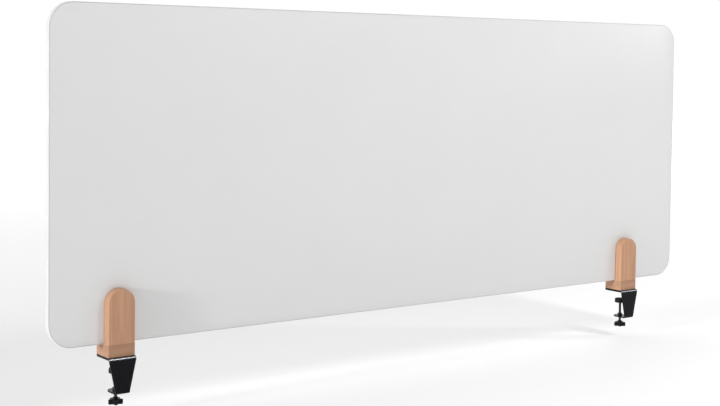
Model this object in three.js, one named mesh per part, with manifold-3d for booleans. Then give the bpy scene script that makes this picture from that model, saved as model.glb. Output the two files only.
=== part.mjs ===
// Desk privacy panel: a white writing board that stands in two wooden forks,
// and each fork sits on a bent steel clamp that grips the edge of a desk.
//
// Millimetres. +X runs along the board, +Z is up, and +Y points over the desk.
// The origin lies on the desk's top surface, at its edge, midway along the board.
import * as THREE from 'three';
import { mergeVertices } from 'three/addons/utils/BufferGeometryUtils.js';
import Module from 'manifold-3d';

// ---- driving dimensions ----

const BOARD_WIDTH = 1600;
const BOARD_HEIGHT = 600;
const BOARD_CORNER = 45;
const SHEET_THICKNESS = 0.5;
const CORE_THICKNESS = 11;
const TRIM_WEB = 1.5;
const TRIM_SEAM = 0.25;
const TRIM_RIB_DEPTH = 5;
const TRIM_RIB_THICKNESS = 2;

const HOLDER_WIDTH = 52;
const HOLDER_X = { left: -670, right: 635 };
const SLOT_WIDTH = 13;
const CHEEK_THICKNESS = 17.5;
const CHEEK_HEIGHT = 98;
const BASE_HEIGHT = 22;
const WOOD_SETBACK = 2;
const WOOD_EDGE = 1;

const STEEL = 3;
const BEND_INSIDE = 2;
const DESK_PAD_THICKNESS = 1.5;
const BRACKET_BOTTOM = -61.5;
const BRACKET_REAR_MARGIN = 1;
const BRACKET_CORNER = 3;
const TONGUE_WIDTH = 28;
const TAPER_TOP = -2;
const TAPER_BOTTOM = -56.5;

const DESK_THICKNESS = 19;
const CUSHION_THICKNESS = 2;
const CUSHION_RADIUS = 11.5;
const PAD_THICKNESS = 7.5;
const PAD_RADIUS = 12.5;
const THREAD_RADIUS = 3;
const TIP_RADIUS = 2;
const RIVET_RADIUS = 3.6;
const RIVET_HEIGHT = 1.2;

const KNOB_BOTTOM = -84;
const KNOB_HEIGHT = 9;
const KNOB_LOBES = 5;
const KNOB_RADIUS = 13.5;
const LOBE_RADIUS = 3.3;
const VALLEY_CENTRE = 12;
const KNOB_TURN = { left: 33, right: 13 };
const KNOB_EDGE = 1;
const KNOB_BOSS_RADIUS = 5;
const KNOB_BOSS_HEIGHT = 3.5;
const KNOB_BOSS_FLARE = 1;
const KNOB_FLOOR = 2;

const NUT_ACROSS_CORNERS = 11.5;
const NUT_HEIGHT = 5;

const SCREW_RADIUS = 2;
const SCREW_HEAD_RADIUS = 4;
const SCREW_LENGTH = 46;
const SCREW_POINT = 5;
const SCREW_SPACING_X = 30;
const RECESS_REACH = 2.2;
const RECESS_WIDTH = 1.2;
const RECESS_DEPTH = 1.6;

const GAP = 0.3;
// how far a cutter runs on past what it cuts
const OVERRUN = 1;

// pieces in a full turn, and in each arc of an outline
const ROUND_SIDES = 32;
const CHAMFER_ARC = 1;
const SMALL_ARC = 4;
const BEND_ARC = 5;
const PLAIN_ARC = 8;
const HALF_ROUND_ARC = 12;

// ---- places that follow from them ----

const BOARD_THICKNESS = CORE_THICKNESS + 2 * SHEET_THICKNESS;
const WOOD_DEPTH = 2 * CHEEK_THICKNESS + SLOT_WIDTH;
const WOOD_REAR = WOOD_SETBACK + WOOD_DEPTH;
const BOARD_Y = WOOD_SETBACK + WOOD_DEPTH / 2;
const PLATE_TOP = DESK_PAD_THICKNESS + STEEL;
const BASE_TOP = PLATE_TOP + BASE_HEIGHT;
const CHEEK_TOP = BASE_TOP + CHEEK_HEIGHT;
const BOARD_FRONT = BOARD_Y - BOARD_THICKNESS / 2;
const BOARD_REAR = BOARD_Y + BOARD_THICKNESS / 2;
const BOARD_MIDDLE_Z = BASE_TOP + BOARD_HEIGHT / 2;
const BEND_OUTSIDE = BEND_INSIDE + STEEL;
const BRACKET_REAR = WOOD_REAR + BRACKET_REAR_MARGIN;
const TONGUE_TOP = BRACKET_BOTTOM + STEEL;
const TONGUE_REAR = BOARD_Y + TONGUE_WIDTH / 2;
const CUSHION_TOP = -DESK_THICKNESS;
const PAD_TOP = CUSHION_TOP - CUSHION_THICKNESS;
const PAD_BOTTOM = PAD_TOP - PAD_THICKNESS;
const KNOB_TOP = KNOB_BOTTOM + KNOB_HEIGHT;
const CHEEK_Y = {
  front: WOOD_SETBACK + CHEEK_THICKNESS / 2,
  rear: WOOD_REAR - CHEEK_THICKNESS / 2,
};

// ---- finishes ----

const finish = (color, roughness, metalness) => ({ color, roughness, metalness });
const WHITE_LACQUER = finish('#eef0f0', 0.18, 0.0);
const FIBREBOARD = finish('#b99b74', 0.85, 0.0);
const PALE_EDGING = finish('#e4e6e7', 0.35, 0.0);
const BEECH = finish('#cf9a74', 0.5, 0.0);
const BEECH_END = finish('#bd8560', 0.55, 0.0);
const BLACK_POWDER = finish('#1b1a1f', 0.42, 0.0);
const BLACK_RUBBER = finish('#151515', 0.85, 0.0);
const BLACK_PLASTIC = finish('#17171b', 0.38, 0.0);
const BLACK_STEEL = finish('#2a2a2e', 0.4, 0.9);
const ZINC = finish('#b9bcc0', 0.35, 0.9);

// ---- shape tools ----

const wasm = await Module();
wasm.setup();

const X = new THREE.Vector3(1, 0, 0);
const Y = new THREE.Vector3(0, 1, 0);
const Z = new THREE.Vector3(0, 0, 1);
const FRONT_VIEW = new THREE.Matrix4().makeBasis(X, Z, Y.clone().negate());
const SIDE_VIEW = new THREE.Matrix4().makeBasis(Y, Z, X);

// A closed geometry as a solid that can be joined and cut.
function solid(geometry) {
  const bare = geometry.clone();
  bare.deleteAttribute('normal');
  bare.deleteAttribute('uv');
  const merged = mergeVertices(bare, 1e-4);
  const corners = merged.index.array;
  const kept = [];
  for (let i = 0; i < corners.length; i += 3) {
    const [a, b, c] = [corners[i], corners[i + 1], corners[i + 2]];
    if (a !== b && b !== c && c !== a) kept.push(a, b, c);
  }
  const vertProperties = Float32Array.from(merged.attributes.position.array);
  const triVerts = Uint32Array.from(kept);
  return new wasm.Manifold(new wasm.Mesh({ numProp: 3, vertProperties, triVerts }));
}

function geometryOf(body) {
  const { vertProperties, triVerts } = body.getMesh();
  const geometry = new THREE.BufferGeometry();
  geometry.setAttribute('position', new THREE.BufferAttribute(vertProperties, 3));
  geometry.setIndex(new THREE.BufferAttribute(triVerts, 1));
  geometry.computeVertexNormals();
  return geometry;
}

function cut(geometry, cutters) {
  let body = solid(geometry);
  for (const cutter of cutters) body = body.subtract(solid(cutter));
  return geometryOf(body);
}

// An outline drawn in X and Z, given a thickness from y0 to y1.
function extrudeY(outline, y0, y1, curveSegments = PLAIN_ARC) {
  const options = { depth: y1 - y0, bevelEnabled: false, curveSegments };
  return new THREE.ExtrudeGeometry(outline, options).applyMatrix4(FRONT_VIEW).translate(0, y1, 0);
}

// An outline drawn in X and Y, given a height from z0 to z1.
function extrudeZ(outline, z0, z1, curveSegments = PLAIN_ARC) {
  const options = { depth: z1 - z0, bevelEnabled: false, curveSegments };
  return new THREE.ExtrudeGeometry(outline, options).translate(0, 0, z0);
}

// The same, with its top and bottom edges chamfered.
function extrudeZChamfered(outline, z0, z1, edge, curveSegments = PLAIN_ARC) {
  const geometry = new THREE.ExtrudeGeometry(outline, {
    depth: z1 - z0 - 2 * edge,
    bevelThickness: edge,
    bevelSize: edge,
    bevelOffset: -edge,
    bevelSegments: 1,
    curveSegments,
  });
  return geometry.translate(0, 0, z0 + edge);
}

function box(x0, x1, y0, y1, z0, z1) {
  const geometry = new THREE.BoxGeometry(x1 - x0, y1 - y0, z1 - z0);
  return geometry.translate((x0 + x1) / 2, (y0 + y1) / 2, (z0 + z1) / 2);
}

// An upright cylinder, or a cone where the two radii differ.
function post(x, y, z0, z1, lowerRadius, upperRadius = lowerRadius, sides = ROUND_SIDES) {
  const geometry = new THREE.CylinderGeometry(upperRadius, lowerRadius, z1 - z0, sides);
  return geometry.applyMatrix4(FRONT_VIEW).translate(x, y, (z0 + z1) / 2);
}

// A turned piece: [radius, height] pairs that start and end on its axis.
function turned(profile, x, y) {
  const points = profile.map(([radius, height]) => new THREE.Vector2(radius, height));
  const geometry = new THREE.LatheGeometry(points, ROUND_SIDES);
  return geometry.applyMatrix4(FRONT_VIEW).translate(x, y, 0);
}

function roundedRectangle(target, left, right, bottom, top, radius) {
  target.moveTo(left + radius, bottom);
  target.lineTo(right - radius, bottom);
  target.absarc(right - radius, bottom + radius, radius, -Math.PI / 2, 0, false);
  target.lineTo(right, top - radius);
  target.absarc(right - radius, top - radius, radius, 0, Math.PI / 2, false);
  target.lineTo(left + radius, top);
  target.absarc(left + radius, top - radius, radius, Math.PI / 2, Math.PI, false);
  target.lineTo(left, bottom + radius);
  target.absarc(left + radius, bottom + radius, radius, Math.PI, 1.5 * Math.PI, false);
  return target;
}

function named(name, geometry, look) {
  const mesh = new THREE.Mesh(geometry, new THREE.MeshStandardMaterial(look));
  mesh.name = name;
  return mesh;
}

// ---- the board ----

// The board's outline, drawn in by a distance all round.
function boardOutline(inset, target = new THREE.Shape()) {
  const halfWidth = BOARD_WIDTH / 2 - inset;
  const halfHeight = BOARD_HEIGHT / 2 - inset;
  const bottom = BOARD_MIDDLE_Z - halfHeight;
  const top = BOARD_MIDDLE_Z + halfHeight;
  return roundedRectangle(target, -halfWidth, halfWidth, bottom, top, BOARD_CORNER - inset);
}

function boardRing(outerInset, innerInset, y0, y1) {
  const ring = boardOutline(outerInset);
  ring.holes.push(boardOutline(innerInset, new THREE.Path()));
  return extrudeY(ring, y0, y1);
}

function boardSheet(y0) {
  return extrudeY(boardOutline(TRIM_WEB + TRIM_SEAM), y0, y0 + SHEET_THICKNESS);
}

// The core has a groove all round its edge, which takes the edging's rib.
function boardCore() {
  const outline = boardOutline(TRIM_WEB + TRIM_SEAM);
  const slab = extrudeY(outline, BOARD_FRONT + SHEET_THICKNESS, BOARD_REAR - SHEET_THICKNESS);
  const grooveInset = TRIM_WEB + TRIM_RIB_DEPTH + GAP;
  const halfGroove = TRIM_RIB_THICKNESS / 2 + GAP;
  return cut(slab, [boardRing(0, grooveInset, BOARD_Y - halfGroove, BOARD_Y + halfGroove)]);
}

function boardTrim() {
  const halfRib = TRIM_RIB_THICKNESS / 2;
  const ribInset = TRIM_WEB + TRIM_RIB_DEPTH;
  const web = boardRing(0, TRIM_WEB, BOARD_FRONT, BOARD_REAR);
  const rib = boardRing(TRIM_WEB / 2, ribInset, BOARD_Y - halfRib, BOARD_Y + halfRib);
  return geometryOf(solid(web).add(solid(rib)));
}

function board() {
  const group = new THREE.Group();
  group.add(named('board_core', boardCore(), FIBREBOARD));
  group.add(named('board_front_sheet', boardSheet(BOARD_FRONT), WHITE_LACQUER));
  group.add(named('board_rear_sheet', boardSheet(BOARD_REAR - SHEET_THICKNESS), WHITE_LACQUER));
  group.add(named('board_edge_trim', boardTrim(), PALE_EDGING));
  return group;
}

// ---- one holder, with its middle at x = 0 ----

// Two screws go up into each cheek.
function screwPlaces() {
  const places = [];
  for (const side of ['front', 'rear']) {
    for (const direction of [-1, 1]) places.push([direction * SCREW_SPACING_X / 2, CHEEK_Y[side]]);
  }
  return places;
}

// The bent strip seen from the side: top plate, front plate and tongue.
function bracketProfile() {
  const upperBend = PLATE_TOP - BEND_OUTSIDE;
  const lowerBend = BRACKET_BOTTOM + BEND_OUTSIDE;
  const strip = new THREE.Shape();
  strip.moveTo(BRACKET_REAR, PLATE_TOP);
  strip.lineTo(BEND_INSIDE, PLATE_TOP);
  strip.absarc(BEND_INSIDE, upperBend, BEND_OUTSIDE, Math.PI / 2, Math.PI, false);
  strip.lineTo(-STEEL, lowerBend);
  strip.absarc(BEND_INSIDE, lowerBend, BEND_OUTSIDE, Math.PI, 1.5 * Math.PI, false);
  strip.lineTo(TONGUE_REAR, BRACKET_BOTTOM);
  strip.lineTo(TONGUE_REAR, TONGUE_TOP);
  strip.lineTo(BEND_INSIDE, TONGUE_TOP);
  strip.absarc(BEND_INSIDE, lowerBend, BEND_INSIDE, 1.5 * Math.PI, Math.PI, true);
  strip.lineTo(0, upperBend);
  strip.absarc(BEND_INSIDE, upperBend, BEND_INSIDE, Math.PI, Math.PI / 2, true);
  strip.lineTo(BRACKET_REAR, DESK_PAD_THICKNESS);
  return strip;
}

// The bracket's outline from the front: full width at the top, narrow at the tongue.
function bracketFrontOutline(margin) {
  const wide = HOLDER_WIDTH / 2;
  const narrow = TONGUE_WIDTH / 2;
  const outline = new THREE.Shape();
  outline.moveTo(-narrow, BRACKET_BOTTOM - margin);
  outline.lineTo(narrow, BRACKET_BOTTOM - margin);
  outline.lineTo(narrow, TAPER_BOTTOM);
  outline.lineTo(wide, TAPER_TOP);
  outline.lineTo(wide, PLATE_TOP + margin);
  outline.lineTo(-wide, PLATE_TOP + margin);
  outline.lineTo(-wide, TAPER_TOP);
  outline.lineTo(-narrow, TAPER_BOTTOM);
  return outline;
}

// The tongue from above: it ends in a half circle about the screw.
function tongueOutline() {
  const narrow = TONGUE_WIDTH / 2;
  const outline = new THREE.Shape();
  outline.moveTo(-narrow, 0);
  outline.lineTo(narrow, 0);
  outline.lineTo(narrow, BOARD_Y);
  outline.absarc(0, BOARD_Y, narrow, 0, Math.PI, false);
  return outline;
}

// What the flat plan leaves of the strip: rounded rear corners on the plate, the whole
// front plate, and the tongue's half-round end.
function bracketPlan(margin) {
  const wide = HOLDER_WIDTH / 2;
  const middle = (TAPER_TOP + TAPER_BOTTOM) / 2;
  const bottom = BRACKET_BOTTOM - margin;
  const top = PLATE_TOP + margin;
  const corners = [-wide, wide, -BEND_OUTSIDE, BRACKET_REAR, BRACKET_CORNER];
  const plate = extrudeZ(roundedRectangle(new THREE.Shape(), ...corners), DESK_PAD_THICKNESS - margin, top);
  const front = box(-wide - margin, wide + margin, -STEEL - margin, BEND_OUTSIDE, bottom, top);
  const tongue = extrudeZ(tongueOutline(), bottom, middle, HALF_ROUND_ARC);
  return solid(plate).add(solid(front)).add(solid(tongue));
}

function bracketStrip() {
  const options = { depth: HOLDER_WIDTH, bevelEnabled: false, curveSegments: BEND_ARC };
  const strip = new THREE.ExtrudeGeometry(bracketProfile(), options);
  return strip.applyMatrix4(SIDE_VIEW).translate(-HOLDER_WIDTH / 2, 0, 0);
}

// A hole through the top plate for one screw, countersunk from below.
function screwHole(x, y, margin) {
  const bottom = DESK_PAD_THICKNESS;
  const sinkTop = bottom + SCREW_HEAD_RADIUS - SCREW_RADIUS;
  const sinkRadius = SCREW_HEAD_RADIUS + GAP + margin;
  const sink = post(x, y, bottom - margin, sinkTop, sinkRadius, SCREW_RADIUS + GAP);
  return solid(sink).add(solid(post(x, y, bottom, PLATE_TOP + margin, SCREW_RADIUS + GAP)));
}

function bracket() {
  const margin = OVERRUN;
  const front = extrudeY(bracketFrontOutline(margin), -STEEL - margin, BRACKET_REAR + margin);
  const threadHole = post(0, BOARD_Y, BRACKET_BOTTOM - margin, TONGUE_TOP + margin, THREAD_RADIUS + GAP);
  let body = solid(bracketStrip())
    .intersect(solid(front))
    .intersect(bracketPlan(margin))
    .subtract(solid(threadHole));
  for (const [x, y] of screwPlaces()) body = body.subtract(screwHole(x, y, margin));
  return geometryOf(body);
}

function baseBlock() {
  const wide = HOLDER_WIDTH / 2;
  const plan = roundedRectangle(new THREE.Shape(), -wide, wide, WOOD_SETBACK, WOOD_REAR, WOOD_EDGE);
  const holeRadius = SCREW_RADIUS + GAP;
  const [bottom, top] = [PLATE_TOP - OVERRUN, BASE_TOP + OVERRUN];
  const holes = screwPlaces().map(([x, y]) => post(x, y, bottom, top, holeRadius));
  return cut(extrudeZ(plan, PLATE_TOP, BASE_TOP, CHAMFER_ARC), holes);
}

// A cheek from the front: a plank with a half-round top.
function cheek(side) {
  const wide = HOLDER_WIDTH / 2;
  const outline = new THREE.Shape();
  outline.moveTo(-wide, BASE_TOP);
  outline.lineTo(wide, BASE_TOP);
  outline.lineTo(wide, CHEEK_TOP - wide);
  outline.absarc(0, CHEEK_TOP - wide, wide, 0, Math.PI, false);
  const y0 = CHEEK_Y[side] - CHEEK_THICKNESS / 2;
  const holeTop = DESK_PAD_THICKNESS + SCREW_LENGTH + OVERRUN;
  const holes = screwPlaces()
    .filter(([, y]) => y === CHEEK_Y[side])
    .map(([x, y]) => post(x, y, BASE_TOP - OVERRUN, holeTop, SCREW_RADIUS + GAP));
  return cut(extrudeY(outline, y0, y0 + CHEEK_THICKNESS, HALF_ROUND_ARC), holes);
}

// A countersunk wood screw with a cross recess, point up.
function woodScrew(x, y) {
  const z0 = DESK_PAD_THICKNESS + GAP / 2;
  const headHeight = SCREW_HEAD_RADIUS - SCREW_RADIUS;
  const blank = turned([
    [0, z0],
    [SCREW_HEAD_RADIUS, z0],
    [SCREW_RADIUS, z0 + headHeight],
    [SCREW_RADIUS, z0 + SCREW_LENGTH - SCREW_POINT],
    [0, z0 + SCREW_LENGTH],
  ], x, y);
  const half = RECESS_WIDTH / 2;
  return cut(blank, [
    box(x - RECESS_REACH, x + RECESS_REACH, y - half, y + half, z0 - OVERRUN, z0 + RECESS_DEPTH),
    box(x - half, x + half, y - RECESS_REACH, y + RECESS_REACH, z0 - OVERRUN, z0 + RECESS_DEPTH),
  ]);
}

// The thin rubber sheet between the top plate and the desk.
function deskPad() {
  const inset = 0.5;
  const corner = BRACKET_CORNER - inset;
  const wide = HOLDER_WIDTH / 2 - inset;
  const plan = new THREE.Shape();
  roundedRectangle(plan, -wide, wide, WOOD_SETBACK + inset, BRACKET_REAR - inset, corner);
  return extrudeZ(plan, 0, DESK_PAD_THICKNESS, SMALL_ARC);
}

function weldNut() {
  const top = TONGUE_TOP + NUT_HEIGHT;
  const radius = NUT_ACROSS_CORNERS / 2;
  const hexagon = post(0, BOARD_Y, TONGUE_TOP, top, radius, radius, 6);
  const bore = post(0, BOARD_Y, TONGUE_TOP - OVERRUN, top + OVERRUN, THREAD_RADIUS + GAP);
  return cut(hexagon, [bore]);
}

// The spindle's tip passes through the pressure pad and is riveted over above it.
function spindle() {
  const shoulder = PAD_BOTTOM - GAP;
  const rivetTop = PAD_TOP - GAP;
  const rivetBottom = rivetTop - RIVET_HEIGHT;
  const foot = KNOB_BOTTOM + KNOB_FLOOR + GAP;
  const chamfer = 0.7;
  return turned([
    [0, foot],
    [THREAD_RADIUS - chamfer, foot],
    [THREAD_RADIUS, foot + chamfer],
    [THREAD_RADIUS, shoulder - chamfer],
    [THREAD_RADIUS - chamfer, shoulder],
    [TIP_RADIUS, shoulder],
    [TIP_RADIUS, rivetBottom],
    [RIVET_RADIUS, rivetBottom],
    [RIVET_RADIUS, rivetTop - RIVET_HEIGHT / 2],
    [TIP_RADIUS, rivetTop],
    [0, rivetTop],
  ], 0, BOARD_Y);
}

function pressurePad() {
  const edge = 1.2;
  const disc = turned([
    [0, PAD_BOTTOM],
    [PAD_RADIUS - 2 * edge, PAD_BOTTOM],
    [PAD_RADIUS, PAD_BOTTOM + edge],
    [PAD_RADIUS, PAD_TOP - edge / 2],
    [PAD_RADIUS - edge / 2, PAD_TOP],
    [0, PAD_TOP],
  ], 0, BOARD_Y);
  const seat = PAD_TOP - 2 * GAP - RIVET_HEIGHT;
  return cut(disc, [
    post(0, BOARD_Y, PAD_BOTTOM - OVERRUN, PAD_TOP + OVERRUN, TIP_RADIUS + GAP),
    post(0, BOARD_Y, seat, PAD_TOP + OVERRUN, RIVET_RADIUS + GAP),
  ]);
}

function padCushion() {
  const edge = 0.5;
  return turned([
    [0, PAD_TOP],
    [CUSHION_RADIUS, PAD_TOP],
    [CUSHION_RADIUS, CUSHION_TOP - edge],
    [CUSHION_RADIUS - edge, CUSHION_TOP],
    [0, CUSHION_TOP],
  ], 0, BOARD_Y);
}

// The knob's outline: round lobes joined by hollows that run smoothly into them. The first lobe
// points the way that the knob was left at when the clamp was tightened.
function knobOutline(turn) {
  const step = 2 * Math.PI / KNOB_LOBES;
  const lobeCentre = KNOB_RADIUS - LOBE_RADIUS;
  const across = VALLEY_CENTRE * Math.cos(step / 2) - lobeCentre;
  const along = VALLEY_CENTRE * Math.sin(step / 2);
  const valleyRadius = Math.hypot(across, along) - LOBE_RADIUS;
  const spread = Math.atan2(along, across);
  const outline = new THREE.Shape();
  for (let lobe = 0; lobe < KNOB_LOBES; lobe += 1) {
    const angle = turn + lobe * step;
    const middle = angle + step / 2;
    const [lobeX, lobeY] = [lobeCentre * Math.cos(angle), lobeCentre * Math.sin(angle)];
    const [valleyX, valleyY] = [VALLEY_CENTRE * Math.cos(middle), VALLEY_CENTRE * Math.sin(middle)];
    outline.absarc(lobeX, lobeY, LOBE_RADIUS, angle - spread, angle + spread, false);
    const first = angle + spread + Math.PI;
    outline.absarc(valleyX, valleyY, valleyRadius, first, 2 * middle - first, true);
  }
  return outline;
}

function knob(side) {
  const outline = knobOutline(THREE.MathUtils.degToRad(KNOB_TURN[side]));
  const star = extrudeZChamfered(outline, KNOB_BOTTOM, KNOB_TOP, KNOB_EDGE, SMALL_ARC);
  star.translate(0, BOARD_Y, 0);
  const bossTop = KNOB_TOP + KNOB_BOSS_HEIGHT;
  const bossFoot = KNOB_BOSS_RADIUS + KNOB_BOSS_FLARE;
  const boss = post(0, BOARD_Y, KNOB_TOP - OVERRUN, bossTop, bossFoot, KNOB_BOSS_RADIUS);
  const boreFloor = KNOB_BOTTOM + KNOB_FLOOR;
  const bore = post(0, BOARD_Y, boreFloor, bossTop + OVERRUN, THREAD_RADIUS + GAP / 2);
  return geometryOf(solid(star).add(solid(boss)).subtract(solid(bore)));
}

function holder(side) {
  const group = new THREE.Group();
  const add = (name, geometry, look) => group.add(named(`${side}_${name}`, geometry, look));
  group.position.x = HOLDER_X[side];
  add('bracket', bracket(), BLACK_POWDER);
  add('base_block', baseBlock(), BEECH_END);
  add('front_cheek', cheek('front'), BEECH);
  add('rear_cheek', cheek('rear'), BEECH);
  screwPlaces().forEach(([x, y], index) => add(`wood_screw_${index + 1}`, woodScrew(x, y), ZINC));
  add('desk_pad', deskPad(), BLACK_RUBBER);
  add('weld_nut', weldNut(), BLACK_STEEL);
  add('spindle', spindle(), BLACK_STEEL);
  add('pressure_pad', pressurePad(), BLACK_PLASTIC);
  add('pad_cushion', padCushion(), BLACK_RUBBER);
  add('knob', knob(side), BLACK_PLASTIC);
  return group;
}

const panel = new THREE.Group();
panel.add(board());
for (const side of ['left', 'right']) panel.add(holder(side));

export default panel;
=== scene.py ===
"""A desk privacy panel: a white writing board in two beech forks on black steel screw clamps.

Metres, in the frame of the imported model: +X along the board, +Y over the desk, +Z up.
"""
import math

import bmesh
import bpy
from mathutils import Matrix, Vector


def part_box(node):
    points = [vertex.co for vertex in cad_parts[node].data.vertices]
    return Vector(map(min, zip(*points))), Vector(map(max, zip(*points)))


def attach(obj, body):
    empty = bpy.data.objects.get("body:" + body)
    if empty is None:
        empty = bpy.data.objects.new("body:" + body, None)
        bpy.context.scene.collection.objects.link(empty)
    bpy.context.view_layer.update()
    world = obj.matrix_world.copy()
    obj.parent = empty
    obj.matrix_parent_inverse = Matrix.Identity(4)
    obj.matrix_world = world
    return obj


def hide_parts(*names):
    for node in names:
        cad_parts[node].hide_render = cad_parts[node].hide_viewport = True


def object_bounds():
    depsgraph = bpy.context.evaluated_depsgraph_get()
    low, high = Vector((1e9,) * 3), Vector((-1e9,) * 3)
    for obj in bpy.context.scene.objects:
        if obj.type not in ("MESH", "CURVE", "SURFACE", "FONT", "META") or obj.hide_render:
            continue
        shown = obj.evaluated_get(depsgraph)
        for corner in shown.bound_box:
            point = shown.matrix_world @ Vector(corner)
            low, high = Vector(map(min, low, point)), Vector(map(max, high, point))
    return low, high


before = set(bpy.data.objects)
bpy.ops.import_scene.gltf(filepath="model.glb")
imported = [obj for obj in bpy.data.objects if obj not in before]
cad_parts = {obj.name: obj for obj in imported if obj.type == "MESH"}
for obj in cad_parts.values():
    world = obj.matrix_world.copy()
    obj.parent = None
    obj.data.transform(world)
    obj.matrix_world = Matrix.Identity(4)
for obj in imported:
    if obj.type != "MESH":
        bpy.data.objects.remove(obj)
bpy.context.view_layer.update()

MM = 0.001
SIDES = ("left", "right")
AXIS_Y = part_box("left_pad_cushion")[0].lerp(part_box("left_pad_cushion")[1], 0.5).y

# board
BOARD_CORNER = 45 * MM
EDGE_BAND = 1.5 * MM
EDGE_RIB_HALF = 1.0 * MM
EDGE_ROUND = 0.5 * MM
EDGE_RIB_DEPTH = 5 * MM
SHEET_ROUND = 0.15 * MM

# wood
WOOD_ROUND = 1.9 * MM
SLOT_ROUND = 0.7 * MM
JOINT_ROUND = 0.3 * MM
BLOCK_CORNER = 1.6 * MM
BLOCK_FOOT_ROUND = 0.5 * MM

# bracket
STEEL = 3 * MM
BEND_INSIDE = 2 * MM
PLATE_CORNER = 3 * MM
STEEL_ROUND = 0.45 * MM
SAME_PLACE = 0.002 * MM
TAPER_DROP = 6.5 * MM
TONGUE_HALF = 14 * MM
TONGUE_HOLE = 3.3 * MM
BEND_STEPS = 12

# rubber sheet on the desk
SHEET_CORNER = 2.5 * MM
SHEET_FOOT_ROUND = 0.4 * MM
SHEET_TOP_ROUND = 0.15 * MM

# nut
NUT_CHAMFER = 0.9 * MM
NUT_FACE_SHARE = 0.96
NUT_MOUTH = 0.5 * MM
NUT_FLOOR = 0.2 * MM

# screw and knob
PITCH = 1.0 * MM
THREAD_RADIUS = 3 * MM
THREAD_DEPTH = 0.55 * MM
THREAD_ROOT = THREAD_RADIUS - THREAD_DEPTH
# one ridge across, as (share of the pitch, radius)
THREAD_SECTION = ((0.0, THREAD_ROOT), (0.36, THREAD_RADIUS), (0.56, THREAD_RADIUS), (0.92, THREAD_ROOT))
THREAD_END_GAP = 0.3 * MM
TIP_RADIUS = 2 * MM
TIP_CENTRE = 0.4 * MM
RIVET_RADIUS = 3.6 * MM
RIVET_HEIGHT = 1.2 * MM
RIVET_RIM = 0.7 * MM
RIVET_TOP = 2.4 * MM
KNOB_LOBES = 5
KNOB_RADIUS = 13.5 * MM
LOBE_RADIUS = 3.3 * MM
VALLEY_CENTRE = 12 * MM
KNOB_TURN = {"left": 33, "right": 13}
KNOB_ROUND = 1.4 * MM
KNOB_BOSS_HEIGHT = 3.5 * MM
KNOB_BOSS_RADIUS = 5 * MM
KNOB_FILLET = 1.5 * MM
KNOB_DISH = 1.0 * MM
KNOB_BORE = 3.1 * MM
KNOB_BORE_DEPTH = 3 * MM
SCREW_TRAVEL = 25 * MM

# pressure foot and its rubber disc
FOOT_BORE = 2.4 * MM
FOOT_ROUND = 1.6 * MM
FOOT_SOCKET = 3.9 * MM
FOOT_SOCKET_DEPTH = 1.8 * MM
DISC_CENTRE = 0.5 * MM
DISC_GROOVES = (9.0 * MM, 6.4 * MM, 3.8 * MM)
DISC_GROOVE_DEPTH = 0.5 * MM

# camera, in metres, degrees and millimetres of lens
CAMERA_AT = (-1.7381, -2.1252, 0.5248)
CAMERA_YAW = 36.683
CAMERA_PITCH = -2.4
CAMERA_ROLL = 0.706
CAMERA_SENSOR = 36
CAMERA_LENS = 67.12
CAMERA_SHIFT = -0.115

# studio
SKY_FRONT = 0.3
SKY_BACK = 1.02
FLOOR_RINGS = (2.0, 5.0, 14.0)
FLOOR_STEPS = 96


# ---------------------------------------------------------------- mesh tools

def add_object(name, verts, faces, smooth_angle=35):
    """A mesh object with outward faces, smooth except at edges sharper than smooth_angle."""
    mesh = bpy.data.meshes.new(name)
    mesh.from_pydata([tuple(v) for v in verts], [], faces)
    work = bmesh.new()
    work.from_mesh(mesh)
    bmesh.ops.recalc_face_normals(work, faces=work.faces)
    work.to_mesh(mesh)
    work.free()
    mesh.polygons.foreach_set("use_smooth", [True] * len(mesh.polygons))
    mesh.set_sharp_from_angle(angle=math.radians(smooth_angle))
    obj = bpy.data.objects.new(name, mesh)
    bpy.context.scene.collection.objects.link(obj)
    return obj


def skin(name, loops, ring=False, smooth_angle=35):
    """Joins equal closed loops one to the next. The two ends are capped, or joined if ring is set."""
    count = len(loops[0])
    verts = [v for loop in loops for v in loop]
    faces = []
    pairs = list(zip(range(len(loops) - 1), range(1, len(loops))))
    if ring:
        pairs.append((len(loops) - 1, 0))
    else:
        faces.append(tuple(range(count)))
        faces.append(tuple((len(loops) - 1) * count + i for i in range(count)))
    for a, b in pairs:
        for i in range(count):
            j = (i + 1) % count
            faces.append((a * count + i, a * count + j, b * count + j, b * count + i))
    return add_object(name, verts, faces, smooth_angle)


def arc(centre, radius, start, end, steps):
    """Points on an arc from start to end, in degrees, both ends included."""
    angles = [math.radians(start + (end - start) * k / steps) for k in range(steps + 1)]
    return [(centre[0] + radius * math.cos(a), centre[1] + radius * math.sin(a)) for a in angles]


def rounding(radius, steps=4):
    """(inset, rise) pairs round an outer edge, from a flat end face to the side."""
    angles = [math.radians(90 * k / steps) for k in range(steps + 1)]
    return [(radius * (1 - math.sin(a)), radius * (1 - math.cos(a))) for a in angles]


def rounded_ends(low, high, first, last):
    """(inset, place) pairs of a bar from low to high whose two ends are rounded."""
    start = [(inset, low + rise) for inset, rise in rounding(first)]
    end = [(inset, high - rise) for inset, rise in rounding(last)]
    return start + end[::-1]


def circle_loop(x, y, radius, z, angles):
    """A level circle about (x, y), with a point at each of the angles, in radians."""
    return [Vector((x + radius * math.cos(a), y + radius * math.sin(a), z)) for a in angles]


def even_angles(steps):
    return [2 * math.pi * k / steps for k in range(steps)]


def turned(name, profile, x, y, sides):
    """A turned piece about an upright axis, from (radius, height) pairs."""
    angles = even_angles(sides)
    return skin(name, [circle_loop(x, y, radius, height, angles) for radius, height in profile])


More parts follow.
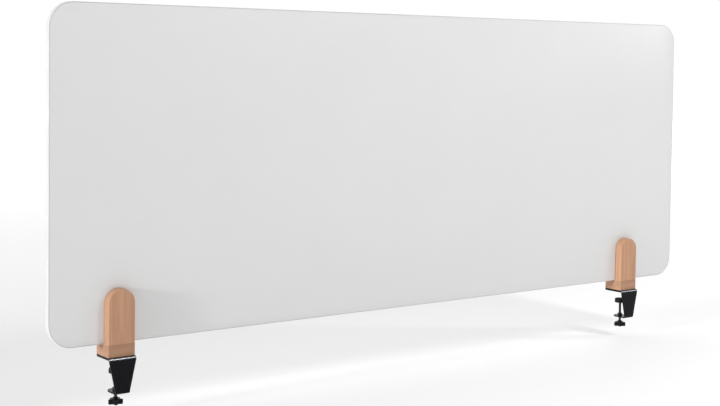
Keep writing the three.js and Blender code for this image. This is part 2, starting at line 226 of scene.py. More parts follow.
def rectangle_loop(low, high, corner, inset, z, steps):
    """The outline of a slab with rounded upright corners, drawn in by inset, at the height z."""
    x0, x1, y0, y1 = low.x + corner, high.x - corner, low.y + corner, high.y - corner
    points = []
    for centre, start in (((x1, y0), -90), ((x1, y1), 0), ((x0, y1), 90), ((x0, y0), 180)):
        points += arc(centre, corner - inset, start, start + 90, steps)
    return [Vector((x, y, z)) for x, y in points]


def middle_of(low, high):
    """The x and y of a box's upright axis."""
    return (low.x + high.x) / 2, (low.y + high.y) / 2


def place(obj, body, slot, look, *nodes):
    """Gives a finished piece its material and its body, and hides the CAD nodes it stands for. The slot
    argument is not used.
    """
    obj.data.materials.clear()
    obj.data.materials.append(look)
    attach(obj, body)
    if nodes:
        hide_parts(*nodes)
    return obj


# ---------------------------------------------------------------- shader tools

class Look:
    """A Principled material and short ways to add the nodes that feed it."""

    def __init__(self, name, color, roughness, **sockets):
        self.material = bpy.data.materials.new(name)
        self.material.use_nodes = True
        self.tree = self.material.node_tree
        self.shader = self.tree.nodes["Principled BSDF"]
        self.shader.inputs["Base Color"].default_value = (*color, 1)
        self.shader.inputs["Roughness"].default_value = roughness
        for socket, value in sockets.items():
            self.shader.inputs[socket.replace("_", " ")].default_value = value
        self.coordinates = self.tree.nodes.new("ShaderNodeTexCoord").outputs["Object"]

    def link(self, source, target):
        self.tree.links.new(source, target)

    def drive(self, socket, source):
        self.link(source, self.shader.inputs[socket])

    def stretched(self, scale):
        mapping = self.tree.nodes.new("ShaderNodeMapping")
        mapping.inputs["Scale"].default_value = scale
        self.link(self.coordinates, mapping.inputs["Vector"])
        return mapping.outputs["Vector"]

    def noise(self, scale, detail=3, roughness=0.5, distortion=0.0, vector=None):
        node = self.tree.nodes.new("ShaderNodeTexNoise")
        node.inputs["Scale"].default_value = scale
        node.inputs["Detail"].default_value = detail
        node.inputs["Roughness"].default_value = roughness
        node.inputs["Distortion"].default_value = distortion
        self.link(vector or self.coordinates, node.inputs["Vector"])
        return node.outputs["Fac"]

    def spread(self, source, low, high, to_low=0.0, to_high=1.0):
        """Source taken from the range low to high into the range to_low to to_high."""
        node = self.tree.nodes.new("ShaderNodeMapRange")
        node.inputs["From Min"].default_value = low
        node.inputs["From Max"].default_value = high
        node.inputs["To Min"].default_value = to_low
        node.inputs["To Max"].default_value = to_high
        self.link(source, node.inputs["Value"])
        return node.outputs["Result"]

    def math(self, operation, first, second):
        node = self.tree.nodes.new("ShaderNodeMath")
        node.operation = operation
        for socket, value in zip(node.inputs, (first, second)):
            if isinstance(value, (int, float)):
                socket.default_value = value
            else:
                self.link(value, socket)
        return node.outputs["Value"]

    def blend(self, factor, first, second, mode="MIX"):
        """Mixes two colours. A colour is a tuple or another node's output."""
        node = self.tree.nodes.new("ShaderNodeMix")
        node.data_type = "RGBA"
        node.blend_type = mode
        # a Mix node has sockets of the same name for each kind of data, so the colour ones go by number
        sockets = (node.inputs[0], node.inputs[6], node.inputs[7])
        for socket, value in zip(sockets, (factor, first, second)):
            if isinstance(value, tuple):
                socket.default_value = (*value, 1)
            elif isinstance(value, (int, float)):
                socket.default_value = value
            else:
                self.link(value, socket)
        return node.outputs[2]

    def edges(self, radius, low=0.02, high=0.35):
        """1 along the piece's outer edges, falling to 0 on its flats."""
        bevel = self.tree.nodes.new("ShaderNodeBevel")
        bevel.samples = 4
        bevel.inputs["Radius"].default_value = radius
        geometry = self.tree.nodes.new("ShaderNodeNewGeometry")
        product = self.tree.nodes.new("ShaderNodeVectorMath")
        product.operation = "DOT_PRODUCT"
        self.link(bevel.outputs["Normal"], product.inputs[0])
        self.link(geometry.outputs["Normal"], product.inputs[1])
        bent = self.math("SUBTRACT", 1.0, product.outputs["Value"])
        return self.spread(bent, low, high)

    def bump(self, height, strength, distance, under=None):
        node = self.tree.nodes.new("ShaderNodeBump")
        node.inputs["Strength"].default_value = strength
        node.inputs["Distance"].default_value = distance
        self.link(height, node.inputs["Height"])
        if under is not None:
            self.link(under, node.inputs["Normal"])
        return node.outputs["Normal"]


# ---------------------------------------------------------------- materials

def white_lacquer():
    """Lacquered steel: smooth, with faint orange peel and wiping marks in its gloss."""
    look = Look("white_lacquer", (0.72, 0.72, 0.72), 0.3, Specular_IOR_Level=0.4)
    cloudy = look.noise(5.0, detail=4, roughness=0.55)
    wiped = look.noise(3.0, detail=2, roughness=0.4, vector=look.stretched((1.0, 1.0, 2.5)))
    tone = look.spread(cloudy, 0.3, 0.7)
    look.drive("Base Color", look.blend(tone, (0.715, 0.715, 0.716), (0.726, 0.727, 0.727)))
    look.drive("Roughness", look.spread(wiped, 0.3, 0.7, 0.3, 0.36))
    peel = look.noise(420.0, detail=2)
    look.drive("Normal", look.bump(peel, 0.04, 0.05 * MM))
    return look.material


def pale_edging():
    """Pale plastic edging: finely speckled, and rubbed a little paler on its corners."""
    look = Look("pale_edging", (0.64, 0.645, 0.65), 0.35)
    speck = look.noise(900.0, detail=3)
    soft = look.noise(14.0, detail=3)
    base = look.blend(look.spread(soft, 0.3, 0.7), (0.62, 0.625, 0.63), (0.67, 0.675, 0.68))
    rubbed = look.edges(0.6 * MM)
    look.drive("Base Color", look.blend(look.math("MULTIPLY", rubbed, 0.5), base, (0.72, 0.725, 0.73)))
    look.drive("Roughness", look.spread(speck, 0.3, 0.7, 0.3, 0.42))
    look.drive("Normal", look.bump(speck, 0.08, 0.05 * MM))
    return look.material


def honeycomb_board():
    """The core's brown paper cells, hidden inside the board."""
    look = Look("honeycomb_core", (0.56, 0.44, 0.3), 0.85)
    cells = look.tree.nodes.new("ShaderNodeTexVoronoi")
    cells.feature = "DISTANCE_TO_EDGE"
    cells.inputs["Scale"].default_value = 70.0
    look.link(look.coordinates, cells.inputs["Vector"])
    walls = look.spread(cells.outputs["Distance"], 0.02, 0.08, 1.0, 0.0)
    fibre = look.noise(700.0, detail=5, roughness=0.7)
    base = look.blend(look.spread(fibre, 0.3, 0.7), (0.5, 0.38, 0.25), (0.6, 0.47, 0.33))
    look.drive("Base Color", look.blend(walls, base, (0.42, 0.31, 0.2)))
    look.drive("Roughness", look.spread(fibre, 0.3, 0.7, 0.78, 0.92))
    look.drive("Normal", look.bump(fibre, 0.4, 0.2 * MM))
    return look.material


def beech(name, along, shade):
    """Steamed beech, oiled. along is the axis its grain follows; shade darkens a piece a little."""
    def grain(length):
        return tuple(length if axis == along else 1.0 for axis in "XYZ")

    def tint(r, g, b):
        return (r * shade, g * shade, b * shade)

    look = Look(name, tint(0.56, 0.3, 0.18), 0.5, Specular_IOR_Level=0.3)
    broad = look.noise(75.0, detail=3, roughness=0.5, distortion=0.9, vector=look.stretched(grain(0.07)))
    rings = look.noise(260.0, detail=4, roughness=0.6, distortion=0.5, vector=look.stretched(grain(0.035)))
    fibre = look.noise(1500.0, detail=4, roughness=0.65, vector=look.stretched(grain(0.03)))
    fleck = look.noise(1900.0, detail=1, roughness=0.4, vector=look.stretched(grain(0.16)))
    color = look.blend(look.spread(broad, 0.33, 0.67), tint(0.51, 0.268, 0.157), tint(0.62, 0.352, 0.217))
    bands = look.math("MULTIPLY", look.spread(rings, 0.42, 0.7), 0.55)
    color = look.blend(bands, color, tint(0.45, 0.218, 0.122))
    threads = look.math("MULTIPLY", look.spread(fibre, 0.35, 0.7), 0.3)
    color = look.blend(threads, color, tint(0.68, 0.405, 0.26))
    specks = look.spread(fleck, 0.62, 0.72)
    color = look.blend(look.math("MULTIPLY", specks, 0.4), color, tint(0.33, 0.165, 0.09))
    worn = look.math("MULTIPLY", look.edges(1.2 * MM), 0.4)
    look.drive("Base Color", look.blend(worn, color, tint(0.72, 0.45, 0.3)))
    look.drive("Roughness", look.spread(fibre, 0.3, 0.7, 0.42, 0.58))
    ridges = look.bump(fibre, 0.18, 0.08 * MM)
    look.drive("Normal", look.bump(specks, -0.12, 0.08 * MM, under=ridges))
    return look.material


def powder_coat():
    """Black powder coat: a fine pebbled film, rubbed brighter along its edges, with a painted highlight on
    the upper bend.
    """
    look = Look("black_powder_coat", (0.005, 0.005, 0.008), 0.2, Specular_IOR_Level=0.1)
    pebble = look.noise(2600.0, detail=2, roughness=0.5)
    cloud = look.noise(120.0, detail=3)
    rubbed = look.math("MULTIPLY", look.edges(0.7 * MM), look.spread(cloud, 0.35, 0.65, 0.2, 0.8))
    dark = look.blend(look.spread(cloud, 0.3, 0.7), (0.004, 0.004, 0.006), (0.006, 0.006, 0.009))
    dark = look.blend(look.math("MULTIPLY", rubbed, 0.6), dark, (0.02, 0.02, 0.024))
    # painted highlight: the upper bend, what lies above the desk's top and in front of its edge, turns a
    # lighter metallic grey
    split = look.tree.nodes.new("ShaderNodeSeparateXYZ")
    look.link(look.coordinates, split.inputs["Vector"])
    upper = look.spread(split.outputs["Z"], -0.5 * MM, 1.0 * MM)
    outer = look.spread(split.outputs["Y"], 0.5 * MM, -0.5 * MM)
    bend = look.math("MULTIPLY", upper, outer)
    # the painted highlight: metallic and a lighter base colour on the bend stand in for the glint of light
    # there
    look.drive("Metallic", look.math("MULTIPLY", bend, 0.9))
    look.drive("Base Color", look.blend(bend, dark, (0.12, 0.12, 0.13)))
    look.drive("Roughness", look.spread(pebble, 0.3, 0.7, 0.17, 0.24))
    look.drive("Normal", look.bump(pebble, 0.05, 0.02 * MM))
    return look.material


def moulded_plastic():
    """Black moulded plastic with a fine spark-eroded texture."""
    look = Look("black_plastic", (0.005, 0.005, 0.007), 0.4, Specular_IOR_Level=0.15)
    spark = look.noise(3200.0, detail=3, roughness=0.6)
    cloud = look.noise(160.0, detail=2)
    rubbed = look.math("MULTIPLY", look.edges(0.8 * MM), 0.6)
    dark = look.blend(look.spread(cloud, 0.3, 0.7), (0.003, 0.003, 0.005), (0.006, 0.006, 0.008))
    look.drive("Base Color", look.blend(rubbed, dark, (0.02, 0.02, 0.023)))
    look.drive("Roughness", look.spread(spark, 0.3, 0.7, 0.36, 0.52))
    look.drive("Normal", look.bump(spark, 0.2, 0.05 * MM))
    return look.material


def black_rubber():
    """Black rubber: gritty, with dust held in it."""
    look = Look("black_rubber", (0.012, 0.012, 0.012), 0.8, Specular_IOR_Level=0.3)
    grit = look.noise(1800.0, detail=4, roughness=0.7)
    dust = look.noise(60.0, detail=5, roughness=0.7)
    dusty = look.math("MULTIPLY", look.spread(dust, 0.5, 0.8), 0.35)
    look.drive("Base Color", look.blend(dusty, (0.011, 0.011, 0.011), (0.05, 0.048, 0.045)))
    look.drive("Roughness", look.spread(grit, 0.3, 0.7, 0.72, 0.9))
    look.drive("Normal", look.bump(grit, 0.35, 0.08 * MM))
    return look.material


def steel(name, dark, bright, roughness):
    """Bare or blackened steel with turning marks round its upright axis."""
    look = Look(name, dark, roughness, Metallic=1.0)
    marks = look.noise(2400.0, detail=3, vector=look.stretched((0.15, 0.15, 1.0)))
    stain = look.noise(220.0, detail=4, roughness=0.6)
    base = look.blend(look.spread(stain, 0.35, 0.65), dark, bright)
    worn = look.math("MULTIPLY", look.edges(0.3 * MM), 0.7)
    lighter = tuple(min(1.0, 1.8 * c) for c in bright)
    look.drive("Base Color", look.blend(worn, base, lighter))
    look.drive("Roughness", look.spread(marks, 0.3, 0.7, roughness - 0.07, roughness + 0.09))
    look.drive("Normal", look.bump(marks, 0.15, 0.04 * MM))
    return look.material


# ---------------------------------------------------------------- the board

def board_loop(inset, y):
    """The board's outline drawn in by inset, at the depth y."""
    low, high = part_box("board_edge_trim")
    radius = BOARD_CORNER - inset
    corners = (
        ((high.x - BOARD_CORNER, low.z + BOARD_CORNER), -90),
        ((high.x - BOARD_CORNER, high.z - BOARD_CORNER), 0),
        ((low.x + BOARD_CORNER, high.z - BOARD_CORNER), 90),
        ((low.x + BOARD_CORNER, low.z + BOARD_CORNER), 180),
    )
    points = []
    for centre, start in corners:
        points += arc(centre, radius, start, start + 90, 20)
    return [Vector((x, y, z)) for x, z in points]


def board_sheet(name, look, outer_is_low):
    """One lacquered sheet, its outer edge just rounded over."""
    low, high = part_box(name)
    inset = low.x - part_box("board_edge_trim")[0].x
    outer, inner = (low.y, high.y) if outer_is_low else (high.y, low.y)
    inwards = math.copysign(1, inner - outer)
    loops = [board_loop(inset + back, outer + inwards * rise) for back, rise in rounding(SHEET_ROUND, 3)]
    loops.append(board_loop(inset, inner))
    place(skin(f"{name}_finished", loops), "board", "white_lacquer", look, name)


def board_edge_band(look):
    """The T-shaped edge band: a flat band with rounded corners and a rib that grips the core."""
    low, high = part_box("board_edge_trim")
    middle = (low.y + high.y) / 2
    depth = EDGE_BAND + EDGE_RIB_DEPTH
    section = [(inset, low.y + rise) for inset, rise in reversed(rounding(EDGE_ROUND))]
    section += [
        (EDGE_BAND, low.y),
        (EDGE_BAND, middle - EDGE_RIB_HALF),
        (depth, middle - EDGE_RIB_HALF),
        (depth, middle + EDGE_RIB_HALF),
        (EDGE_BAND, middle + EDGE_RIB_HALF),
        (EDGE_BAND, high.y),
    ]
    section += [(inset, high.y - rise) for inset, rise in rounding(EDGE_ROUND)]
    band = skin("board_edge_band", [board_loop(inset, y) for inset, y in section], ring=True)
    place(band, "board", "pale_edging", look, "board_edge_trim")


# ---------------------------------------------------------------- the wooden forks

def cheek(side, which, look):
    """A plank with a half-round top, its outer face well rounded over at the rim."""
    low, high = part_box(f"{side}_{which}_cheek")
    middle = (low.x + high.x) / 2
    radius = (high.x - low.x) / 2
    rounds = (WOOD_ROUND, SLOT_ROUND) if which == "front" else (SLOT_ROUND, WOOD_ROUND)

    def loop(inset, y):
        foot = low.z + inset * JOINT_ROUND / WOOD_ROUND
        half = radius - inset
        points = [(middle - half, foot), (middle + half, foot)]
        points += arc((middle, high.z - radius), half, 0, 180, 40)
        return [Vector((x, y, z)) for x, z in points]

    loops = [loop(inset, y) for inset, y in rounded_ends(low.y, high.y, *rounds)]
    plank = skin(f"{side}_{which}_cheek_wood", loops)
    place(plank, f"{side}_holder", "beech", look, f"{side}_{which}_cheek")


def base_block(side, look):
    """The block across the foot of a fork, its grain running along the board."""
    low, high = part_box(f"{side}_base_block")
    ends = rounded_ends(low.z, high.z, BLOCK_FOOT_ROUND, JOINT_ROUND)
    loops = [rectangle_loop(low, high, BLOCK_CORNER, inset, z, 5) for inset, z in ends]
    block = skin(f"{side}_base_block_wood", loops)
    place(block, f"{side}_holder", "beech", look, f"{side}_base_block")


# ---------------------------------------------------------------- the clamps

class Strip:
    """The clamp's steel strip: places on the flat pattern and where bending puts them.

    s runs along the strip from the plate's rear edge to the tongue's tip, and n is the height above
    its middle surface, outwards.
    """

    def __init__(self, side):
        low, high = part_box(f"{side}_bracket")
        self.middle_x = (low.x + high.x) / 2
        self.half_width = (high.x - low.x) / 2
        self.low, self.high = low, high
        self.bend = BEND_INSIDE + STEEL / 2
        self.bend_y = low.y + STEEL + BEND_INSIDE
        self.upper_z = high.z - STEEL - BEND_INSIDE
        self.lower_z = low.z + STEEL + BEND_INSIDE
        quarter = self.bend * math.pi / 2
        tongue_rear = AXIS_Y + TONGUE_HALF
        self.s1 = high.y - self.bend_y
        self.s2 = self.s1 + quarter
        self.s3 = self.s2 + self.upper_z - self.lower_z
        self.s4 = self.s3 + quarter
        self.s5 = self.s4 + tongue_rear - self.bend_y

    def bent(self, x, s, n):
        radius = self.bend + n
        if s <= self.s1:
            y, z = self.high.y - s, self.upper_z + radius
        elif s <= self.s2:
            turn = (s - self.s1) / self.bend
            y, z = self.bend_y - radius * math.sin(turn), self.upper_z + radius * math.cos(turn)
        elif s <= self.s3:
            y, z = self.bend_y - radius, self.upper_z - (s - self.s2)
        elif s <= self.s4:
            turn = (s - self.s3) / self.bend
            y, z = self.bend_y - radius * math.cos(turn), self.lower_z - radius * math.sin(turn)
        else:
            y, z = self.bend_y + (s - self.s4), self.lower_z - radius
        return Vector((self.middle_x + x, y, z))

    def half_outline(self):
        """The right half of the flat pattern, from the rear edge round to the tip."""
        wide, corner = self.half_width, PLATE_CORNER
        taper_top = self.s2 + TAPER_DROP - BEND_INSIDE - STEEL
        rear = arc((wide - corner, corner), corner, -90, 0, 6)
        end = arc((0, self.s5 - TONGUE_HALF), TONGUE_HALF, 0, 90, 18)
        return [(0.0, 0.0)] + rear + [(wide, taper_top), (TONGUE_HALF, self.s3)] + end

    def hole(self, steps=16):
        """The right half of the thread's hole, from its tip side back to its rear side."""
        return arc((0, self.s5 - TONGUE_HALF), TONGUE_HOLE, 90, -90, steps)


def bracket(side, look):
    """The strip is drawn flat, its rims are rounded, and then it is bent."""
    strip = Strip(side)
    outline, hole = strip.half_outline(), strip.hole()
    work = bmesh.new()
    known = {}

    def mirrored(points):
        return [(-x, s) for x, s in points]

    def vertex(x, s, n):
        key = (round(x, 7), round(s, 7), n)
        if key not in known:
            known[key] = work.verts.new((x, s, n))
        return known[key]

    half = STEEL / 2
    for points in (outline + hole, mirrored(outline + hole)):
        for n in (-half, half):
            work.faces.new([vertex(x, s, n) for x, s in points])
    for chain in (outline, hole, mirrored(outline), mirrored(hole)):
        for (xa, sa), (xb, sb) in zip(chain, chain[1:]):
            corners = ((xa, sa, -half), (xb, sb, -half), (xb, sb, half), (xa, sa, half))
            work.faces.new([vertex(*corner) for corner in corners])
    bmesh.ops.recalc_face_normals(work, faces=work.faces)
    rims = [e for e in work.edges if len(e.link_faces) == 2 and e.calc_face_angle(0) > math.radians(60)]
    bmesh.ops.bevel(work, geom=rims, offset=STEEL_ROUND, segments=3, profile=0.5, affect="EDGES")
    bends = ((strip.s1, strip.s2), (strip.s3, strip.s4))
    for start, end in bends:
        for k in range(BEND_STEPS + 1):
            s = start + (end - start) * k / BEND_STEPS
            everything = work.verts[:] + work.edges[:] + work.faces[:]
            bmesh.ops.bisect_plane(work, geom=everything, plane_co=(0, s, 0), plane_no=(0, 1, 0))
    bmesh.ops.remove_doubles(work, verts=work.verts, dist=SAME_PLACE)
    for v in work.verts:
        v.co = strip.bent(*v.co)
    mesh = bpy.data.meshes.new("bracket")
    work.to_mesh(mesh)
    verts = [v.co.copy() for v in mesh.vertices]
    faces = [tuple(p.vertices) for p in mesh.polygons]
    work.free()
    obj = add_object(f"{side}_bracket_bent", verts, faces, smooth_angle=40)
    keep = obj.modifiers.new("even_normals", "WEIGHTED_NORMAL")
    keep.keep_sharp = True
    place(obj, f"{side}_holder", "black_powder_coat", look, f"{side}_bracket")


def desk_pad(side, look):
    """The rubber sheet under the bracket's plate."""
    low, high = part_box(f"{side}_desk_pad")
    ends = rounded_ends(low.z, high.z, SHEET_FOOT_ROUND, SHEET_TOP_ROUND)
    loops = [rectangle_loop(low, high, SHEET_CORNER, inset, z, 8) for inset, z in ends]
    place(skin(f"{side}_desk_pad_sheet", loops), f"{side}_holder", "black_rubber", look, f"{side}_desk_pad")


def weld_nut(side, look):
    """A hexagon with a turned chamfer on top and a countersunk mouth.

    Its bore is closed just above the tongue, so the spindle runs through a thin floor there.
    """
    low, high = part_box(f"{side}_weld_nut")
    x, y = middle_of(low, high)
    flat = min(high.x - low.x, high.y - low.y) / 2
    turn = 0 if high.x - low.x < high.y - low.y else math.pi / 6

    def loop(limit, z):
        points = []
        for angle in even_angles(48):
            off = (angle - turn + math.pi / 6) % (math.pi / 3) - math.pi / 6
            radius = min(flat / math.cos(off), limit)
            points.append(Vector((x + radius * math.cos(angle), y + radius * math.sin(angle), z)))
        return points

    full = 2 * flat
    loops = [loop(full, low.z), loop(full, high.z - NUT_CHAMFER)]
    for k in range(1, 5):
        drop = NUT_CHAMFER * (1 - k / 4)
        loops.append(loop(NUT_FACE_SHARE * flat + drop * math.sqrt(3), high.z - drop))
    loops.append(loop(TONGUE_HOLE + NUT_MOUTH, high.z))
    loops.append(loop(TONGUE_HOLE, high.z - NUT_MOUTH))
    loops.append(loop(TONGUE_HOLE, low.z + NUT_FLOOR))
    place(skin(f"{side}_weld_nut_hex", loops, smooth_angle=25), f"{side}_holder", "blackened_steel", look,
          f"{side}_weld_nut")


def threaded_rod(side, look):
    """The spindle's right-hand thread as one ridge that winds up it, with both ends closed."""
    low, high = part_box(f"{side}_spindle")
    x, y = middle_of(low, high)
    foot = low.z
    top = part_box(f"{side}_pressure_pad")[0].z - THREAD_END_GAP
    sides = 28
    turns = int((top - foot) / PITCH) - 1
    steps = sides * turns
    verts, faces = [], []
    for k in range(steps + sides + 1):
        angle = 2 * math.pi * k / sides
        for part, radius in THREAD_SECTION:
            z = foot + PITCH * (k / sides + part)
            verts.append(Vector((x + radius * math.cos(angle), y + radius * math.sin(angle), z)))
    width = len(THREAD_SECTION)

    def index(k, j):
        """Point j of the section at step k. The point after the last is the first one, a turn higher."""
        return (k + sides) * width if j == width else k * width + j

    for k in range(steps):
        for j in range(width):
            faces.append((index(k, j), index(k + 1, j), index(k + 1, j + 1), index(k, j + 1)))
    for first in (0, steps):
        rim = [index(k, 0) for k in range(first, first + sides + 1)]
        rim += [index(first, j) for j in range(width - 1, 0, -1)]
        centre = len(verts)
        verts.append(Vector((x, y, sum(verts[i].z for i in rim) / len(rim))))
        faces += [(centre, a, b) for a, b in zip(rim, rim[1:] + rim[:1])]
    used = sorted({i for face in faces for i in face})
    renumber = {old: new for new, old in enumerate(used)}
    faces = [tuple(renumber[i] for i in face) for face in faces]
    rod = add_object(f"{side}_spindle_thread", [verts[i] for i in used], faces, smooth_angle=28)
    place(rod, f"{side}_clamp_screw", "blackened_steel", look, f"{side}_spindle")
    rivet_foot = high.z - RIVET_HEIGHT
    profile = [
        (TIP_CENTRE, top - PITCH),
        (THREAD_ROOT, top - PITCH),
        (THREAD_ROOT + 0.2 * MM, top - 0.3 * MM),
        (THREAD_ROOT, top),
        (TIP_RADIUS, top),
        (TIP_RADIUS, rivet_foot),
        (RIVET_RADIUS, rivet_foot),
        (RIVET_RADIUS, high.z - RIVET_RIM),
        (RIVET_TOP, high.z),
        (TIP_CENTRE, high.z),
    ]
    tip = turned(f"{side}_spindle_tip", profile, x, y, sides=32)
    place(tip, f"{side}_clamp_screw", "blackened_steel", look)


def knob_loop(x, y, turned_by, inset, z):
    """The knob's lobed outline drawn in by inset: lobes shrink and hollows grow."""
    step = 2 * math.pi / KNOB_LOBES
    lobe_centre = KNOB_RADIUS - LOBE_RADIUS
    across = VALLEY_CENTRE * math.cos(step / 2) - lobe_centre
    along = VALLEY_CENTRE * math.sin(step / 2)
    valley = math.hypot(across, along) - LOBE_RADIUS
    spread = math.degrees(math.atan2(along, across))
    points = []
    for lobe in range(KNOB_LOBES):
        angle = turned_by + math.degrees(lobe * step)
        middle = angle + math.degrees(step) / 2
        turn, half = math.radians(angle), math.radians(middle)
        lobe_at = (lobe_centre * math.cos(turn), lobe_centre * math.sin(turn))
        points += arc(lobe_at, LOBE_RADIUS - inset, angle - spread, angle + spread, 10)
        hollow_at = (VALLEY_CENTRE * math.cos(half), VALLEY_CENTRE * math.sin(half))
        first = angle + spread + 180
        points += arc(hollow_at, valley + inset, first, 2 * middle - first + 360, 6)[1:-1]
    return [Vector((x + px, y + py, z)) for px, py in points]


def knob(side, look):
    """A moulded star knob: rounded lobes, a filleted boss above and a shallow dish below."""
    low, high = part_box(f"{side}_knob")
    x, y = middle_of(*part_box(f"{side}_spindle"))
    star_top = high.z - KNOB_BOSS_HEIGHT
    outline = knob_loop(0, 0, KNOB_TURN[side], 0, 0)
    angles = [math.atan2(p.y, p.x) for p in outline]

    def circle(radius, z):
        return circle_loop(x, y, radius, z, angles)

    loops = [
        circle(0.5 * MM, low.z + KNOB_DISH),
        circle(5.5 * MM, low.z + KNOB_DISH),
        circle(6.2 * MM, low.z + 0.7 * KNOB_DISH),
        circle(6.6 * MM, low.z + 0.1 * KNOB_DISH),
        circle(6.9 * MM, low.z),
    ]
    for inset, z in rounded_ends(low.z, star_top, KNOB_ROUND, KNOB_ROUND):
        loops.append(knob_loop(x, y, KNOB_TURN[side], inset, z))
    for out, up in rounding(KNOB_FILLET):
        loops.append(circle(KNOB_BOSS_RADIUS + out, star_top + up))
    loops.append(circle(KNOB_BOSS_RADIUS - 0.1 * MM, high.z - 0.6 * MM))
    loops.append(circle(KNOB_BOSS_RADIUS - 0.6 * MM, high.z))
    loops.append(circle(KNOB_BORE + 0.4 * MM, high.z))
    loops.append(circle(KNOB_BORE, high.z - 0.5 * MM))
    loops.append(circle(KNOB_BORE, high.z - KNOB_BORE_DEPTH))
    place(skin(f"{side}_star_knob", loops, smooth_angle=50), f"{side}_clamp_screw", "black_plastic", look,
          f"{side}_knob")


def pressure_foot(side, look):
    """The swivelling foot: a rounded rim with a groove round it, and a socket for the riveted tip.

    It is solid between its two recesses, so the tip runs through it there.
    """
    low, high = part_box(f"{side}_pressure_pad")
    x, y = middle_of(low, high)
    edge = (high.x - low.x) / 2
    profile = [
        (FOOT_BORE, low.z + 0.8 * MM),
        (4.6 * MM, low.z + 0.8 * MM),
        (5.2 * MM, low.z),
        (edge - 3.4 * MM, low.z),
    ]
    for degrees in range(0, 91, 15):
        angle = math.radians(degrees)
        out = edge - FOOT_ROUND + FOOT_ROUND * math.sin(angle)
        profile.append((out, low.z + FOOT_ROUND * (1 - math.cos(angle))))
    profile += [
        (edge, high.z - 2.6 * MM),
        (edge - 0.5 * MM, high.z - 2.3 * MM),
        (edge - 0.5 * MM, high.z - 1.8 * MM),
        (edge, high.z - 1.5 * MM),
        (edge, high.z - 0.6 * MM),
        (edge - 0.2 * MM, high.z - 0.15 * MM),
        (edge - 0.6 * MM, high.z),
        (FOOT_SOCKET, high.z),
        (FOOT_SOCKET, high.z - FOOT_SOCKET_DEPTH),
        (FOOT_BORE, high.z - FOOT_SOCKET_DEPTH),
    ]
    piece = turned(f"{side}_swivel_foot", profile, x, y, sides=64)
    place(piece, f"{side}_foot", "black_plastic", look, f"{side}_pressure_pad")


def foot_cushion(side, look):
    """The rubber disc on the foot, with three grooves in the face that bears on the desk."""
    low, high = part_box(f"{side}_pad_cushion")
    x, y = middle_of(*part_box(f"{side}_pressure_pad"))
    edge = (high.x - low.x) / 2
    profile = [
        (DISC_CENTRE, low.z),
        (edge - 0.3 * MM, low.z),
        (edge, low.z + 0.3 * MM),
        (edge, high.z - 0.5 * MM),
        (edge - 0.15 * MM, high.z - 0.15 * MM),
        (edge - 0.5 * MM, high.z),
    ]
    for radius in DISC_GROOVES:
        profile += [
            (radius + 0.5 * MM, high.z),
            (radius + 0.3 * MM, high.z - DISC_GROOVE_DEPTH),
            (radius - 0.3 * MM, high.z - DISC_GROOVE_DEPTH),
            (radius - 0.5 * MM, high.z),
        ]
    profile.append((DISC_CENTRE, high.z))
    piece = turned(f"{side}_foot_cushion", profile, x, y, sides=64)
    place(piece, f"{side}_foot", "black_rubber", look, f"{side}_pad_cushion")


# ---------------------------------------------------------------- build

def build():
    """Every piece of the object. The board's core and the wood screws keep their CAD shape."""
    lacquer = white_lacquer()
    edging = pale_edging()
    upright_beech = beech("beech_upright", "Z", 0.92)
    cross_beech = beech("beech_across", "X", 0.74)
    powder = powder_coat()
    plastic = moulded_plastic()
    rubber = black_rubber()
    black_steel = steel("blackened_steel", (0.05, 0.05, 0.055), (0.09, 0.09, 0.095), 0.36)
    zinc = steel("zinc_screw", (0.55, 0.55, 0.56), (0.66, 0.66, 0.68), 0.32)

    board_sheet("board_front_sheet", lacquer, outer_is_low=True)
    board_sheet("board_rear_sheet", lacquer, outer_is_low=False)
    board_edge_band(edging)
    paint("board_core", honeycomb_board())
    for side in SIDES:
        for which in ("front", "rear"):
            cheek(side, which, upright_beech)
        base_block(side, cross_beech)
        bracket(side, powder)
        desk_pad(side, rubber)
        weld_nut(side, black_steel)
        threaded_rod(side, black_steel)
        knob(side, plastic)
        pressure_foot(side, plastic)
        foot_cushion(side, rubber)
        for number in range(1, 5):
            paint(f"{side}_wood_screw_{number}", zinc)


def paint(node, look):
    """A CAD node that stays as it is, with a better material."""
    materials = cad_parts[node].data.materials
    materials.clear()
    materials.append(look)


# ---------------------------------------------------------------- studio

def floor():
    """A pale floor, just clear of the knobs when the screws are wound right out."""
    low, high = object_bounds()
    middle = (low + high) / 2
    level = low.z - SCREW_TRAVEL
    verts = [Vector((middle.x, middle.y, level))]
    for radius in FLOOR_RINGS:
        verts += circle_loop(middle.x, middle.y, radius, level, even_angles(FLOOR_STEPS))
    faces = [(0, 1 + k, 1 + (k + 1) % FLOOR_STEPS) for k in range(FLOOR_STEPS)]
    for ring in range(len(FLOOR_RINGS) - 1):
        inner = 1 + ring * FLOOR_STEPS
        outer = inner + FLOOR_STEPS
        for k in range(FLOOR_STEPS):
            following = (k + 1) % FLOOR_STEPS
            faces.append((inner + k, outer + k, outer + following, inner + following))
    obj = add_object("studio_floor", verts, faces)
    look = Look("studio_floor", (0.9, 0.9, 0.9), 0.6, Specular_IOR_Level=0.2, Emission_Color=(1, 1, 1, 1))
    away = look.tree.nodes.new("ShaderNodeVectorMath")
    away.operation = "LENGTH"
    look.link(look.coordinates, away.inputs[0])
    look.drive("Emission Strength", look.spread(away.outputs["Value"], 1.0, 5.0, 0.09, 0.4))
    obj.data.materials.append(look.material)


def aimed(name, kind, place_at, aim, power, **settings):
    """A light at place_at that shines towards aim."""
    data = bpy.data.lights.new(name, kind)
    data.energy = power
    for key, value in settings.items():
        setattr(data, key, value)
    obj = bpy.data.objects.new(name, data)
    bpy.context.scene.collection.objects.link(obj)
    obj.location = place_at
    obj.rotation_euler = (Vector(aim) - Vector(place_at)).to_track_quat("-Z", "Y").to_euler()


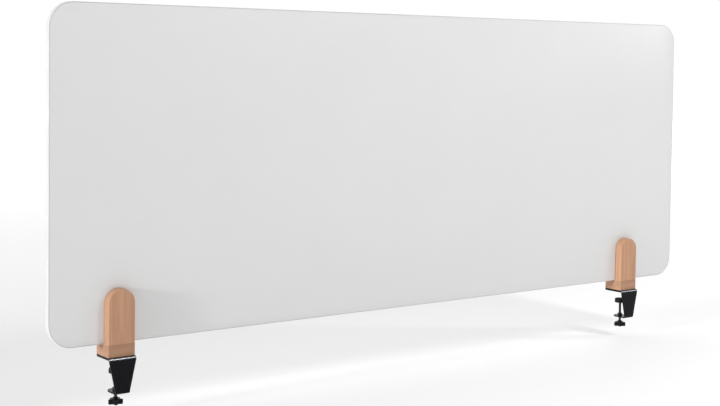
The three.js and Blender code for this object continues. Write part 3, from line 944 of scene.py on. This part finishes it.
def sky():
    """A white studio, brightest behind the board and dimmer on the side it is seen from."""
    world = bpy.data.worlds.new("studio")
    world.use_nodes = True
    nodes, links = world.node_tree.nodes, world.node_tree.links
    direction = nodes.new("ShaderNodeTexCoord").outputs["Generated"]
    split = nodes.new("ShaderNodeSeparateXYZ")
    links.new(direction, split.inputs["Vector"])
    ramp = nodes.new("ShaderNodeMapRange")
    ramp.interpolation_type = "SMOOTHSTEP"
    ramp.inputs["From Min"].default_value = -0.35
    ramp.inputs["From Max"].default_value = 0.45
    ramp.inputs["To Min"].default_value = SKY_FRONT
    ramp.inputs["To Max"].default_value = SKY_BACK
    links.new(split.outputs["Y"], ramp.inputs["Value"])
    links.new(ramp.outputs["Result"], nodes["Background"].inputs["Strength"])
    nodes["Background"].inputs["Color"].default_value = (1, 1, 1, 1)
    bpy.context.scene.world = world


def studio():
    """Two strips in front, a soft fill at the board's left end and a low sun from the left."""
    sky()
    bpy.context.scene.view_settings.view_transform = "Standard"
    middle = (0.0, 0.0, 0.2)
    strip = {"shape": "RECTANGLE", "size": 0.25, "size_y": 1.2}
    aimed("front_key", "AREA", (0.78, -2.1, 2.14), middle, 27.5, **strip)
    aimed("right_key", "AREA", (3.44, -1.8, 1.88), middle, 24.5, **strip)
    aimed("upper_fill", "AREA", (-1.1, -1.1, 1.5), (-0.6, 0.0, 0.4), 1.2, shape="SQUARE", size=0.9)
    aimed("side", "SUN", (-3.0, -0.25, 0.6), (0.0, 0.0, 0.15), 2.1, angle=math.radians(8))


def camera():
    """Looks along the board from its left end, a little above its middle."""
    yaw, pitch, roll = (math.radians(a) for a in (CAMERA_YAW, CAMERA_PITCH, CAMERA_ROLL))
    forward = Vector((math.sin(yaw) * math.cos(pitch), math.cos(yaw) * math.cos(pitch), math.sin(pitch)))
    level = Vector((math.cos(yaw), -math.sin(yaw), 0))
    upright = level.cross(forward)
    right = math.cos(roll) * level + math.sin(roll) * upright
    up = math.cos(roll) * upright - math.sin(roll) * level
    data = bpy.data.cameras.new("camera")
    data.sensor_width = CAMERA_SENSOR
    data.lens = CAMERA_LENS
    data.shift_y = CAMERA_SHIFT
    obj = bpy.data.objects.new("camera", data)
    bpy.context.scene.collection.objects.link(obj)
    turn = Matrix((right, up, -forward)).transposed().to_4x4()
    obj.matrix_world = Matrix.Translation(CAMERA_AT) @ turn
    bpy.context.scene.camera = obj


build()
floor()
studio()
camera()
